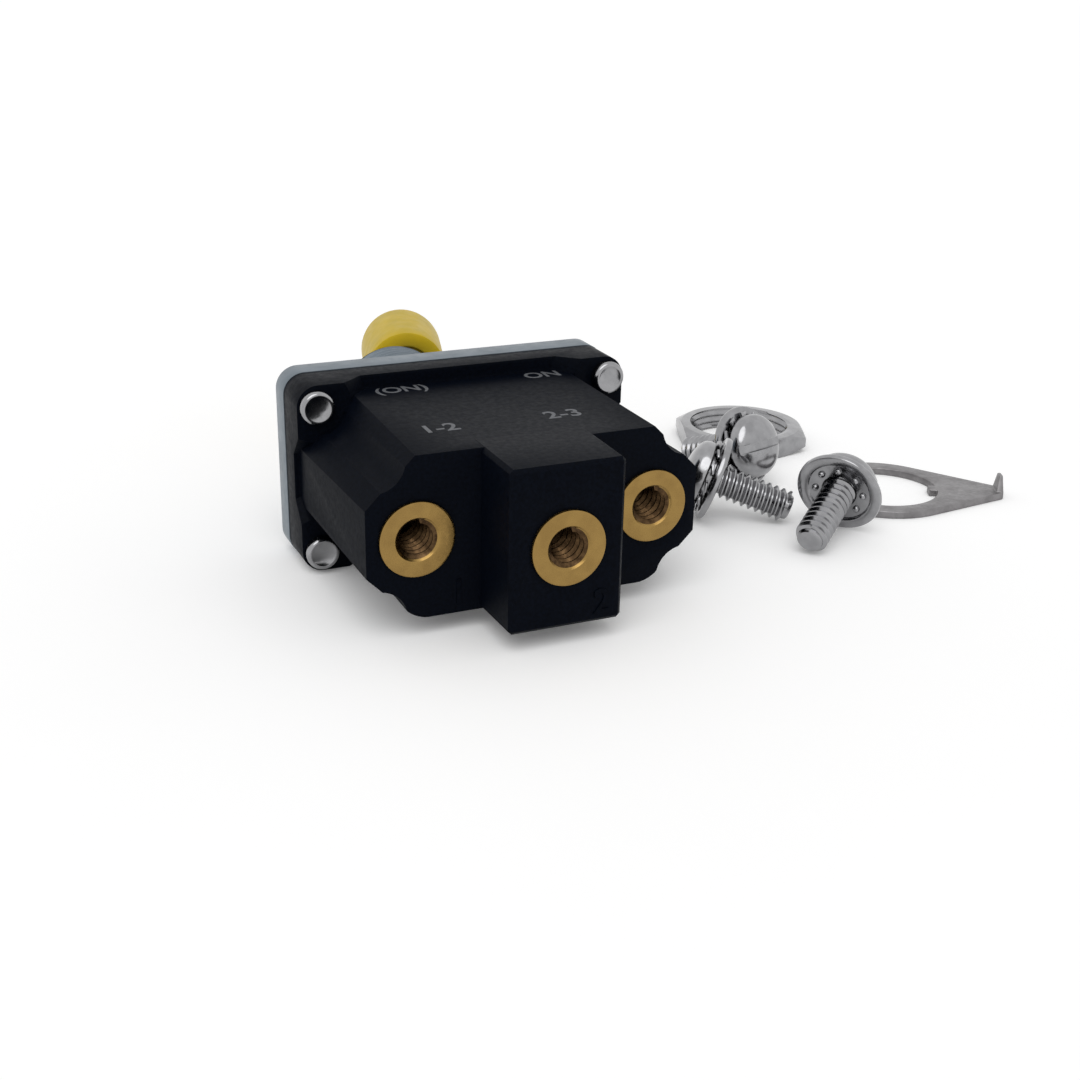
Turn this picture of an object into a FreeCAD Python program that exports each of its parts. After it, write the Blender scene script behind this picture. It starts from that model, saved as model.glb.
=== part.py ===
import FreeCAD, Part
import math
import os

# Sealed one-pole toggle switch with three screw terminals, sizes in mm.
# Origin: middle of the mounting face, on the bushing's axis.
# +Y out of the panel along the bushing, +X along the long side, +Z across it.

V = FreeCAD.Vector
Y_AXIS = V(0, 1, 0)
Z_AXIS = V(0, 0, 1)
os.makedirs("parts", exist_ok=True)

# Driving sizes of the cover and the case
cover_half_x = 16.65
cover_half_z = 9.2
cover_corner_r = 2.1
cover_plate = 1.0
cover_skirt_depth = 3.0
cover_skirt_wall = 0.6
cover_edge = 0.4
gasket_thick = 0.6
fit_gap = 0.05
flange_inset = 0.05
rim_depth = 2.75
pad_depth = 1.8
pad_r = 3.4
body_inset_x = 0.9
body_inset_z = 1.73
body_draft = 0.3
side_face = 24.6
centre_face = 31.0
block_half_x = 5.35
block_edge = 0.35
channel_r = 2.7
channel_start = 192.0
channel_end = 260.0
cavity_wall_x = 2.75
cavity_wall_z = 2.17
cavity_corner = 1.3
cavity_floor = 16.5

# Driving sizes of the bushing, the lever and what works with them
bushing_r = 5.95
bushing_length = 15.1
bushing_hub_step = 0.45
thread_groove = 0.45
thread_step = 1.5
thread_run = 1.2
bushing_flange_r = 7.0
bushing_flange_gap = 0.4
swing_gap = 0.1
seal_wall = 0.25
bushing_flange_thick = 1.0
bushing_chamfer = 0.5
keyway_width = 1.5
keyway_depth = 0.75
pivot_height = 5.0
pivot_pin_r = 0.8
pivot_pin_inset = 0.2
lever_lean = 15.0
ball_r = 3.2
ball_gap = 0.1
neck_r = 1.7
neck_top = 11.5
baton_r = 3.2
taper_top = 24.0
baton_tip = 33.0
baton_bevel = 1.2
stem_r = 1.7
stem_end = 8.0
plunger_bore_r = 1.2
plunger_bore_top = 3.0
plunger_r = 1.1
plunger_top = 6.5
plunger_reach = 12.9
spring_wire_r = 0.18
spring_coil_r = 0.85
spring_turns = 5
spring_steps = 10
seal_seat = 12.2
seal_thick = 2.0
cap_low = 20.5
cap_r_low = 4.55
cap_r_high = 4.85
cap_shoulder = 30.15
cap_gap = 0.02

# Driving sizes of the contacts and the terminals
fulcrum_pin_r = 0.4
rocker_half_x = 9.9
rocker_half_z = 2.0
rocker_thick = 0.8
cradle_r = 8.0
cradle_span = 37.0
rocker_lean = 6.0
contact_x = 8.0
moving_contact_r = 1.2
moving_contact_thick = 0.8
fixed_contact_r = 1.4
fixed_contact_thick = 0.8
contact_gap = 0.05
strip_thick = 0.8
strip_half_z = 2.0
bracket_half_x = 2.6
bracket_wall = 0.8
bracket_gap = 0.3
bracket_rise = 1.5
terminal_x = 11.2
insert_r = 3.4
insert_proud = 0.3
insert_length = 6.9
centre_insert_length = 7.2
insert_shank_r = 1.3
insert_head_r = 1.7
insert_head = 0.5
thread_bore_r = 1.4
thread_bore_depth = 6.3
countersink_r = 2.0
rivet_inset_x = 1.85
rivet_inset_z = 2.05
rivet_r = 0.8
rivet_head_r = 1.6
rivet_head = 1.0
rivet_head_edge = 0.25
rivet_sunk_r = 1.4
rivet_relief_r = 1.6

# Driving sizes of the hardware that lies beside the switch
nut_across_flats = 14.3
nut_thick = 2.4
nut_clearance = 0.1
nut_place = (43.2, 12.1)
nut_turn = 10.0
key_washer_rim = 1.95
key_washer_clearance = 0.1
key_washer_thick = 0.8
key_tab_length = 5.2
key_tab_half = 1.0
key_tab_rise = 2.6
key_tongue_half = 0.7
key_tongue = 0.9
key_washer_place = (48.7, -9.1)
key_washer_turn = -26.0
screw_r = 1.72
screw_length = 9.6
screw_head_r = 3.5
screw_head = 2.2
screw_slot = 0.9
screw_slot_depth = 1.0
screw_head_bevel = 0.9
lock_washer_r = 3.9
lock_washer_thick = 0.7
lock_washer_teeth = 9
lock_notch = 0.8
lock_notch_width = 0.7
cup_washer_r = 4.5
cup_washer_thick = 0.8
washer_hole_r = 1.85
hardware_gap = 0.02
screw_places = [(37.0, -17.2, 216.0), (27.6, -9.0, -32.0), (35.5, -0.6, 108.0)]

# Levels that follow from the driving sizes
skirt_low = -cover_skirt_depth
gasket_low = -cover_plate - gasket_thick
rim_low = skirt_low - rim_depth
pad_low = rim_low - pad_depth
inner_half_x = cover_half_x - cover_skirt_wall
inner_half_z = cover_half_z - cover_skirt_wall
inner_corner_r = cover_corner_r - cover_skirt_wall
flange_half_x = cover_half_x - flange_inset
flange_half_z = cover_half_z - flange_inset
rivet_x = cover_half_x - rivet_inset_x
rivet_z = cover_half_z - rivet_inset_z
body_half_x = cover_half_x - body_inset_x
body_half_z = cover_half_z - body_inset_z
cavity_half_x = body_half_x - cavity_wall_x
cavity_half_z = body_half_z - cavity_wall_z
cavity_corner_r = cavity_half_z - cavity_corner
bushing_flange_half = cavity_half_z - bushing_flange_gap
bushing_low = -cover_plate - bushing_flange_thick
bushing_hub_r = bushing_r - bushing_hub_step
pivot_pin_half = bushing_r - thread_groove - pivot_pin_inset
key_washer_hole_r = bushing_r + key_washer_clearance
key_washer_r = key_washer_hole_r + key_washer_rim
key_tab_reach = key_washer_r + key_tab_length
rivet_points = [(sx * rivet_x, sz * rivet_z) for sx in (-1, 1) for sz in (-1, 1)]


def save(name, shape):
    """Write one node's solid or group of solids."""
    shape.exportStep("parts/" + name + ".step")


def cyl(radius, x, z, y_low, y_high):
    """Cylinder along Y between two levels."""
    return Part.makeCylinder(radius, y_high - y_low, V(x, y_low, z), Y_AXIS)


def box(x0, x1, y0, y1, z0, z1):
    """Box from its limits."""
    return Part.makeBox(x1 - x0, y1 - y0, z1 - z0, V(x0, y0, z0))


def plate(half_x, half_z, corner, y_low, y_high):
    """Slab along Y with rounded corners."""
    body = box(-half_x, half_x, y_low, y_high, -half_z, half_z)
    edges = [e for e in body.Edges if abs(e.tangentAt(e.FirstParameter).y) > 0.99]
    return body.makeFillet(corner, edges)


def cut_plate(y_low, y_high):
    """Slab inside the cover's skirt, its corners cut off to clear the rivets."""
    half_x = inner_half_x - fit_gap
    half_z = inner_half_z - fit_gap
    body = box(-half_x, half_x, y_low, y_high, -half_z, half_z)
    edges = [e for e in body.Edges if abs(e.tangentAt(e.FirstParameter).y) > 0.99]
    return body.makeChamfer(half_x + half_z - rivet_x - rivet_z + rivet_relief_r * math.sqrt(2), edges)


def dome(radius, centre, low, high, steps):
    """Profile points of a turned ball as (radius, y), from one angle above its middle to another."""
    angles = [math.radians(low + (high - low) * i / steps) for i in range(steps + 1)]
    return [(radius * math.cos(a), centre + radius * math.sin(a)) for a in angles]


def revolve_y(points):
    """Solid of revolution about Y from (radius, y) points, with the axis closing it."""
    wire = Part.makePolygon([V(r, y, 0) for r, y in points] + [V(points[0][0], points[0][1], 0)])
    return Part.Face(wire).revolve(V(0, 0, 0), Y_AXIS, 360)


def lean(shape):
    """Bring a shape made on the upright lever's axis, pivot at the origin, to the resting lean."""
    moved = shape.copy()
    moved.rotate(V(0, 0, 0), Z_AXIS, -lever_lean)
    moved.translate(V(0, pivot_height, 0))
    return moved


def polar(radius, degrees, cx=0.0, cy=0.0):
    """Point on a circle in the XY plane."""
    a = math.radians(degrees)
    return V(cx + radius * math.cos(a), cy + radius * math.sin(a), 0)


# Cover: drawn plate with a short skirt round the case
cover = plate(cover_half_x, cover_half_z, cover_corner_r, skirt_low, 0)
face_edges = [e for e in cover.Edges if abs(e.BoundBox.YMin) < 1e-6 and abs(e.BoundBox.YMax) < 1e-6]
cover = cover.makeChamfer(cover_edge, face_edges)
cover = cover.cut(plate(inner_half_x, inner_half_z, inner_corner_r, skirt_low - 1, -cover_plate))
cover = cover.cut(cyl(bushing_r + fit_gap, 0, 0, -cover_plate - 1, 1))
for x, z in rivet_points:
    cover = cover.cut(Part.makeCone(rivet_r + fit_gap, rivet_sunk_r + fit_gap, cover_plate,
                                    V(x, -cover_plate, z), Y_AXIS))
save("cover_plate", cover)

# Gasket: ring between the cover and the case
gasket = cut_plate(gasket_low, -cover_plate)
gasket = gasket.cut(plate(cavity_half_x, cavity_half_z, cavity_corner_r, gasket_low - 1, 0))
save("cover_gasket", gasket)


def body_section(level, grow):
    """Closed outline of the case's body, with a hollow along each long corner."""
    half_x = body_half_x + grow
    half_z = body_half_z + grow
    edges = []
    quarter = []
    for a in (channel_start, (channel_start + channel_end) / 2, channel_end):
        p = polar(channel_r, a, rivet_x, rivet_z)
        quarter.append((p.x, p.y))
    top_x = quarter[0][0] - (half_z - quarter[0][1])
    side_z = quarter[2][1] - (half_x - quarter[2][0])
    quarter = [(top_x, half_z)] + quarter + [(half_x, side_z)]
    ring = []
    for sx, sz, flip in ((1, 1, False), (1, -1, True), (-1, -1, False), (-1, 1, True)):
        pts = [V(sx * x, level, sz * z) for x, z in quarter]
        ring.append(pts[::-1] if flip else pts)
    for i, pts in enumerate(ring):
        edges.append(Part.makeLine(pts[0], pts[1]))
        edges.append(Part.Arc(pts[1], pts[2], pts[3]).toShape())
        edges.append(Part.makeLine(pts[3], pts[4]))
        edges.append(Part.makeLine(pts[4], ring[(i + 1) % 4][0]))
    return Part.Wire(edges)


# Case: flange, corner pads, drafted body and the centre terminal block
case = plate(flange_half_x, flange_half_z, cover_corner_r - flange_inset, rim_low, skirt_low)
pads = plate(flange_half_x, flange_half_z, cover_corner_r - flange_inset, pad_low, rim_low)
pad_cones = []
for x, z in rivet_points:
    pad_cones.append(Part.makeCone(pad_r, pad_r + pad_depth, pad_depth, V(x, pad_low, z), Y_AXIS))
case = case.fuse([pads.common(cone) for cone in pad_cones])
body = Part.makeLoft([body_section(rim_low + 1, body_draft), body_section(-side_face, 0)], True, True)
block_grow = 0.05
block = Part.makeLoft([Part.makePolygon([V(sx * (block_half_x + grow), y, sz * (body_half_z + grow))
                                         for sx, sz in ((1, 1), (1, -1), (-1, -1), (-1, 1), (1, 1))])
                       for y, grow in ((-side_face + 2, block_grow), (-centre_face, -block_grow))], True, True)
upright = [e for e in block.Edges if abs(e.tangentAt(e.FirstParameter).y) > 0.9]
front = [e for e in block.Edges if abs(e.BoundBox.YMax + centre_face) < 1e-6]
block = block.makeChamfer(block_edge, upright + front)
case = case.fuse([body, block, cut_plate(skirt_low, gasket_low)])
case = case.cut(plate(cavity_half_x, cavity_half_z, cavity_corner_r, -cavity_floor, 0))
for x, z in rivet_points:
    case = case.cut(cyl(rivet_r + fit_gap, x, z, pad_low - 1, 0))

# Terminals: threaded inserts whose shanks are headed over on the cavity floor
insert_gap = 0.02


def insert(x, face, length):
    """Threaded terminal with a thin shank that reaches into the cavity."""
    seat = -face + length - insert_proud
    outer = cyl(insert_r, x, 0, -face - insert_proud, seat)
    shank = cyl(insert_shank_r, x, 0, seat - 0.5, -cavity_floor + strip_thick)
    head = cyl(insert_head_r, x, 0, -cavity_floor + strip_thick, -cavity_floor + strip_thick + insert_head)
    solid = outer.fuse([shank, head])
    solid = solid.cut(cyl(thread_bore_r, x, 0, -face - insert_proud - 1, -face - insert_proud + thread_bore_depth))
    depth = countersink_r - thread_bore_r
    sink = Part.makeCone(countersink_r, thread_bore_r, depth, V(x, -face - insert_proud, 0), Y_AXIS)
    return solid.cut(sink), seat


for name, x, face, length in (("terminal_1", -terminal_x, side_face, insert_length),
                              ("terminal_2", 0, centre_face, centre_insert_length),
                              ("terminal_3", terminal_x, side_face, insert_length)):
    solid, seat = insert(x, face, length)
    case = case.cut(cyl(insert_r + insert_gap, x, 0, -face - 1, seat))
    case = case.cut(cyl(insert_shank_r + fit_gap, x, 0, seat - 1, -cavity_floor + 1))
    save(name, solid)
save("case", case)

# Rivets: headed on the pads, sunk into the cover
rivets = []
for x, z in rivet_points:
    shank = cyl(rivet_r, x, z, pad_low, -cover_plate)
    head = cyl(rivet_head_r, x, z, pad_low - rivet_head, pad_low)
    rim = [e for e in head.Edges if abs(e.BoundBox.YMax - pad_low + rivet_head) < 1e-6]
    head = head.makeChamfer(rivet_head_edge, rim)
    sunk = Part.makeCone(rivet_r, rivet_sunk_r, cover_plate, V(x, -cover_plate, z), Y_AXIS)
    rivets.append(shank.fuse([head, sunk]))
save("corner_rivets", Part.makeCompound(rivets))

# Bushing: threaded outside, with a keyway, a flange under the cover and a waisted bore the lever swings in
slope = math.tan(math.radians(lever_lean))


def swing_r(level, rod_r):
    """Bore radius that a rod of the leaning lever needs at one level."""
    return abs(level - pivot_height) * slope + rod_r / math.cos(math.radians(lever_lean)) + swing_gap


throat_r = ball_r + ball_gap
throat_high = pivot_height + (throat_r - swing_r(pivot_height, neck_r)) / slope
throat_low = pivot_height - (throat_r - swing_r(pivot_height, stem_r)) / slope
seal_seat_r = swing_r(bushing_length, neck_r) - swing_gap + seal_wall
outline = [(0, -cover_plate), (bushing_hub_r, -cover_plate), (bushing_hub_r, 0), (bushing_r, 0)]
for i in range(int((bushing_length - bushing_chamfer - thread_run - thread_groove) / thread_step) + 1):
    middle = thread_run + i * thread_step
    outline += [(bushing_r, middle - thread_groove), (bushing_r - thread_groove, middle),
                (bushing_r, middle + thread_groove)]
outline += [(bushing_r, bushing_length - bushing_chamfer), (bushing_r - bushing_chamfer, bushing_length),
            (0, bushing_length)]
bushing = revolve_y(outline)
flange = cyl(bushing_flange_r, 0, 0, bushing_low, -cover_plate)
flange = flange.common(box(-bushing_flange_r, bushing_flange_r, bushing_low, -cover_plate,
                           -bushing_flange_half, bushing_flange_half))
bushing = bushing.fuse(flange)
bore = revolve_y([(0, bushing_low), (swing_r(bushing_low, stem_r), bushing_low), (throat_r, throat_low),
                  (throat_r, throat_high), (swing_r(seal_seat, neck_r), seal_seat), (seal_seat_r, seal_seat),
                  (seal_seat_r, bushing_length), (0, bushing_length)])
bushing = bushing.cut(bore)
bushing = bushing.cut(box(-keyway_width / 2, keyway_width / 2, 0.8, bushing_length + 1,
                          -bushing_r - 1, -bushing_r + keyway_depth))
pivot = Part.makeCylinder(pivot_pin_r, 2 * pivot_pin_half, V(0, pivot_height, -pivot_pin_half), Z_AXIS)
pivot_hole = Part.makeCylinder(pivot_pin_r + 0.02, 2 * bushing_r + 2, V(0, pivot_height, -bushing_r - 1), Z_AXIS)
bushing = bushing.cut(pivot_hole)
save("bushing", bushing)
save("pivot_pin", pivot)

# Lever: ball, tapered baton and a hollow stem, leaning to the maintained side
ball_low = -math.degrees(math.acos(stem_r / ball_r))
ball_high = math.degrees(math.acos(neck_r / ball_r))
lever = revolve_y([(0, -stem_end), (stem_r, -stem_end)] + dome(ball_r, 0, ball_low, ball_high, 7)
                  + [(neck_r, neck_top), (baton_r, taper_top), (baton_r, baton_tip - baton_bevel),
                     (baton_r - baton_bevel, baton_tip), (0, baton_tip)])
lever = lever.cut(cyl(plunger_bore_r, 0, 0, -stem_end - 1, -plunger_bore_top))
lever = lean(lever).cut(Part.makeCylinder(pivot_pin_r + fit_gap, 2 * ball_r + 2,
                                          V(0, pivot_height, -ball_r - 1), Z_AXIS))
save("lever", lever)

# Cap: plastic sleeve over the baton
taper = (baton_r - neck_r) / (taper_top - neck_top)
room_r = baton_r + cap_gap
room_low_r = room_r - taper * (taper_top - cap_low)
cap_dome = dome(cap_r_high, cap_shoulder, 0, 90, 6)[:-1]
cap = revolve_y([(0, cap_shoulder + cap_r_high), (0, baton_tip + cap_gap), (room_r - baton_bevel, baton_tip + cap_gap),
                 (room_r, baton_tip - baton_bevel + cap_gap), (room_r, taper_top), (room_low_r, cap_low),
                 (cap_r_low, cap_low)] + cap_dome)
save("lever_cap", lean(cap))

# Seal: rubber ring between the bushing's mouth and the lever's neck
seal = cyl(seal_seat_r - fit_gap, 0, 0, seal_seat + fit_gap, seal_seat + seal_thick)
seal = seal.cut(lean(cyl(neck_r + fit_gap, 0, 0, 0, 2 * seal_seat)))
save("lever_seal", seal)

# Spring and plunger inside the lever's stem
pitch = (plunger_top - plunger_bore_top - 2 * spring_wire_r - 0.1) / spring_turns
coil = []
for i in range(spring_turns * spring_steps + 1):
    a = 2 * math.pi * i / spring_steps
    coil.append(V(spring_coil_r * math.cos(a), pitch * i / spring_steps, spring_coil_r * math.sin(a)))
wire_ring = [V(spring_coil_r + spring_wire_r * math.cos(math.radians(a)), spring_wire_r * math.sin(math.radians(a)), 0)
             for a in range(0, 361, 60)]
spring = Part.makePolygon(coil).makePipeShell([Part.makePolygon(wire_ring)], True, False, 1)
spring.translate(V(0, -plunger_top + spring_wire_r + 0.05, 0))
save("plunger_spring", lean(spring))
plunger = revolve_y([(0, -plunger_reach - plunger_r)] + dome(plunger_r, -plunger_reach, -90, 0, 3)[1:]
                    + [(plunger_r, -plunger_top), (0, -plunger_top)])
save("plunger", lean(plunger))

# Rocker: bent strip with a round cradle for the plunger, tipped by its resting lean
tip_level = pivot_height - plunger_reach - plunger_r
cradle_y = tip_level - contact_gap + cradle_r
arm_top = cradle_y - cradle_r * math.cos(math.radians(cradle_span))
arm_low = arm_top - rocker_thick
outer_r = cradle_r + rocker_thick
low_span = math.degrees(math.acos((cradle_y - arm_low) / outer_r))
cradle_x = cradle_r * math.sin(math.radians(cradle_span))
low_x = outer_r * math.sin(math.radians(low_span))
rocker_wire = Part.Wire([
    Part.makeLine(V(-rocker_half_x, arm_low, 0), V(-rocker_half_x, arm_top, 0)),
    Part.makeLine(V(-rocker_half_x, arm_top, 0), V(-cradle_x, arm_top, 0)),
    Part.Arc(V(-cradle_x, arm_top, 0), V(0, cradle_y - cradle_r, 0), V(cradle_x, arm_top, 0)).toShape(),
    Part.makeLine(V(cradle_x, arm_top, 0), V(rocker_half_x, arm_top, 0)),
    Part.makeLine(V(rocker_half_x, arm_top, 0), V(rocker_half_x, arm_low, 0)),
    Part.makeLine(V(rocker_half_x, arm_low, 0), V(low_x, arm_low, 0)),
    Part.Arc(V(low_x, arm_low, 0), V(0, cradle_y - outer_r, 0), V(-low_x, arm_low, 0)).toShape(),
    Part.makeLine(V(-low_x, arm_low, 0), V(-rocker_half_x, arm_low, 0))])
rocker = Part.Face(rocker_wire).extrude(V(0, 0, 2 * rocker_half_z))
rocker.translate(V(0, 0, -rocker_half_z))
fulcrum = V(0, cradle_y - outer_r - contact_gap - fulcrum_pin_r, 0)
buttons = []
for side in (-1, 1):
    x = side * contact_x
    button = cyl(moving_contact_r, x, 0, arm_low - moving_contact_thick, arm_low)
    button.rotate(fulcrum, Z_AXIS, rocker_lean)
    buttons.append(button)
rocker.rotate(fulcrum, Z_AXIS, rocker_lean)
save("contact_rocker", rocker)
save("moving_contacts", Part.makeCompound(buttons))

# Fulcrum: bracket riveted by the centre terminal, with a cross pin under the rocker
floor = -cavity_floor
wall_in = rocker_half_z + bracket_gap
wall_out = wall_in + bracket_wall
foot = box(-bracket_half_x, bracket_half_x, floor, floor + strip_thick, -wall_out, wall_out)
bracket = foot
for z in (-wall_out, wall_in):
    bracket = bracket.fuse(box(-bracket_half_x + 0.6, bracket_half_x - 0.6, floor, fulcrum.y + bracket_rise,
                               z, z + bracket_wall))
bracket = bracket.cut(cyl(insert_shank_r + fit_gap, 0, 0, floor - 1, floor + strip_thick + 1))
pin_hole = Part.makeCylinder(fulcrum_pin_r + 0.02, 2 * wall_out + 2, V(0, fulcrum.y, -wall_out - 1), Z_AXIS)
save("fulcrum_bracket", bracket.cut(pin_hole))
save("fulcrum_pin", Part.makeCylinder(fulcrum_pin_r, 2 * wall_out + 0.4, V(0, fulcrum.y, -wall_out - 0.2), Z_AXIS))

# Fixed contacts: each on a bent strip that its side terminal rivets down
a = math.radians(rocker_lean)
drop_x = contact_x + moving_contact_r
rise = arm_low - moving_contact_thick - fulcrum.y
fixed_top = fulcrum.y + rise * math.cos(a) - drop_x * math.sin(a) - contact_gap
shelf = fixed_top - fixed_contact_thick
leg_out = contact_x + fixed_contact_r
fixed = []
for side, name in ((-1, "strip_left"), (1, "strip_right")):
    strip = box(leg_out - strip_thick, terminal_x + insert_head_r - 0.05, floor, floor + strip_thick,
                -strip_half_z, strip_half_z)
    strip = strip.fuse([box(leg_out - strip_thick, leg_out, floor, shelf, -strip_half_z, strip_half_z),
                        box(contact_x - fixed_contact_r, leg_out, shelf - strip_thick, shelf,
                            -strip_half_z, strip_half_z)])
    strip = strip.cut(cyl(insert_shank_r + fit_gap, terminal_x, 0, floor - 1, floor + strip_thick + 1))
    button = cyl(fixed_contact_r, contact_x, 0, shelf, fixed_top)
    if side < 0:
        strip = strip.mirror(V(0, 0, 0), V(1, 0, 0))
        button = button.mirror(V(0, 0, 0), V(1, 0, 0))
    save(name, strip)
    fixed.append(button)
save("fixed_contacts", Part.makeCompound(fixed))

# Hardware beside the switch, lying on the level that the cover's long edge rests on
def lay(shape, x, y, turn):
    """Put a shape whose lowest point is at z = 0 on the bench level."""
    shape.rotate(V(0, 0, 0), Z_AXIS, turn)
    shape.translate(V(x, y, hardware_gap - cover_half_z))
    return shape


def disc(radius, hole, low, thick):
    """Flat ring about Z."""
    ring = Part.makeCylinder(radius, thick, V(0, 0, low))
    return ring.cut(Part.makeCylinder(hole, thick + 2, V(0, 0, low - 1)))


# Nut: hexagon with both faces bevelled
nut_across_corners = nut_across_flats / math.cos(math.radians(30))
nut_points = [polar(nut_across_corners / 2, 60 * i) for i in range(6)]
nut = Part.Face(Part.makePolygon(nut_points + [nut_points[0]])).extrude(V(0, 0, nut_thick))
bevel_r = nut_across_flats / 2 - 0.1
bevel = Part.makeCone(bevel_r, bevel_r + 2 * nut_thick, nut_thick * 2 * 0.58)
bevel_top = bevel.mirror(V(0, 0, nut_thick / 2), Z_AXIS)
nut = nut.common(bevel).common(bevel_top)
nut = nut.cut(Part.makeCylinder(bushing_r + nut_clearance, nut_thick + 2, V(0, 0, -1)))
save("hex_nut", lay(nut, nut_place[0], nut_place[1], nut_turn))

# Keying washer: ring drawn out to a bent tab, with a tongue for the keyway
ring_part = Part.makeCylinder(key_washer_r, key_washer_thick)
tangent = math.degrees(math.acos((key_washer_r - key_tab_half) / key_tab_reach))
touch = polar(key_washer_r, tangent)
wedge = Part.Face(Part.makePolygon([V(0, -key_washer_r, 0), V(touch.x, -touch.y, 0),
                                    V(key_tab_reach, -key_tab_half, 0), V(key_tab_reach, key_tab_half, 0),
                                    V(touch.x, touch.y, 0), V(0, key_washer_r, 0), V(0, -key_washer_r, 0)]))
washer = ring_part.fuse(wedge.extrude(V(0, 0, key_washer_thick)))
washer = washer.cut(Part.makeCylinder(key_washer_hole_r, 4, V(0, 0, -1)))
tongue = Part.makeBox(key_tongue + 0.5, 2 * key_tongue_half, key_washer_thick,
                      V(key_washer_hole_r - key_tongue, -key_tongue_half, 0))
tab = Part.makeBox(key_washer_thick, 2 * key_tab_half, key_tab_rise,
                   V(key_tab_reach - key_washer_thick, -key_tab_half, 0))
washer = washer.fuse([tongue, tab])
save("keying_washer", lay(washer, key_washer_place[0], key_washer_place[1], key_washer_turn))

# Terminal screws with their washers, lying on the washer's rim and the screw's tip
washers_thick = lock_washer_thick + cup_washer_thick
roll = math.degrees(math.atan2(cup_washer_r - screw_r, screw_length - washers_thick))
screws = []
locks = []
cups = []
for x, y, heading in screw_places:
    screw = Part.makeCylinder(screw_r, screw_length + 0.2, V(0, 0, -0.2))
    tip = [e for e in screw.Edges if abs(e.BoundBox.ZMin - screw_length) < 1e-6]
    screw = screw.makeChamfer(0.35, tip)
    head = Part.makeCylinder(screw_head_r, screw_head, V(0, 0, -screw_head))
    crown = [e for e in head.Edges if abs(e.BoundBox.ZMax + screw_head) < 1e-6]
    head = head.makeChamfer(screw_head_bevel, crown)
    head = head.cut(Part.makeBox(screw_slot, 4 * screw_head_r, screw_slot_depth,
                                 V(-screw_slot / 2, -2 * screw_head_r, -screw_head)))
    screw = screw.fuse(head)
    lock = disc(lock_washer_r, washer_hole_r, 0, lock_washer_thick)
    for i in range(lock_washer_teeth):
        notch = Part.makeBox(2 * lock_notch, lock_notch_width, lock_washer_thick + 2,
                             V(lock_washer_r - lock_notch, -lock_notch_width / 2, -1))
        notch.rotate(V(0, 0, 0), Z_AXIS, i * 360.0 / lock_washer_teeth)
        lock = lock.cut(notch)
    cup = disc(cup_washer_r, washer_hole_r, lock_washer_thick, cup_washer_thick)
    for shape, group in ((screw, screws), (lock, locks), (cup, cups)):
        shape.translate(V(0, 0, -washers_thick))
        shape.rotate(V(0, 0, 0), V(0, 1, 0), 90 + roll)
        shape.translate(V(0, 0, cup_washer_r * math.cos(math.radians(roll))))
        group.append(lay(shape, x, y, heading))
save("terminal_screws", Part.makeCompound(screws))
save("screw_lock_washers", Part.makeCompound(locks))
save("screw_cup_washers", Part.makeCompound(cups))
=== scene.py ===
import math

import bpy
from mathutils import Matrix, Vector


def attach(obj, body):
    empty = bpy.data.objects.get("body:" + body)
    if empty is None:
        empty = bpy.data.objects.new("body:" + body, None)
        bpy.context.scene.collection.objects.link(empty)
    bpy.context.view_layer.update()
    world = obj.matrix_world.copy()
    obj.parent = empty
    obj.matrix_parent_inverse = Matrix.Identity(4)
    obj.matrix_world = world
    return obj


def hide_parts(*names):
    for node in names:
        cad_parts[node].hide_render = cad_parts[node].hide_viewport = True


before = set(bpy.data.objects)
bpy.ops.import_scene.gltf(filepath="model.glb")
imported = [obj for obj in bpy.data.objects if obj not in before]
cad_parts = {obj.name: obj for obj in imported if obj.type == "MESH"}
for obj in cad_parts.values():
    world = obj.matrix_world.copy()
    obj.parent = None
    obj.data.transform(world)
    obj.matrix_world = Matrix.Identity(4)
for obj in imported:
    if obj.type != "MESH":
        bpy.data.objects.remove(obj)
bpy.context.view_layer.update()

bl_info = {
    "name": "Sealed Toggle Switch",
    "version": (1, 0, 0),
    "blender": (4, 5, 0),
    "location": "3D View > Sidebar > Switch",
    "description": "Models and finishes a sealed toggle switch with its loose hardware",
    "category": "Object",
}

# Levels and centres of the frame, in millimetres
MM = 0.001
PIVOT_HEIGHT = 5.0
LEVER_LEAN = 15.0
BUSHING_LENGTH = 15.1
BENCH = -9.2
HARDWARE_LEVEL = -9.18
SIDE_FACE = -24.9
CENTRE_FACE = -31.3
TERMINAL_X = 11.2
PAD_LEVEL = -7.55
TOP_START = -4.75
TOP_HIGH = 7.77
TOP_END = -24.6
TOP_LOW = 7.47
WING_LOW = -6.9
WING_FRONT = -12.0
WING_SIDE = 7.0
RIVET_X = 14.8
RIVET_Z = 7.15
SCREW_PLACES = ((37.0, -17.2, 216.0), (27.6, -9.0, -32.0), (35.5, -0.6, 108.0))
CUP_R = 4.5
SCREW_R = 1.72
SCREW_LENGTH = 9.6
WASHERS_THICK = 1.5
NUT_PLACE = (43.2, 12.1)

# Radii of the threads and of what they run in
BUSHING_CREST = 5.94
BUSHING_ROOT = 5.46
BUSHING_NECK = 5.5
BUSHING_CHAMFER = 0.5
PIN_HOLE_END = 5.3
KEYWAY_FLOOR = 5.2
KEYWAY_HALF = 0.76
BORE_ROOT = 1.82
BORE_CREST = 1.45
INSERT_R = 3.43
NUT_ROOT = 6.06
NUT_CREST = 5.62
SCREW_CORE = 1.34


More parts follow.
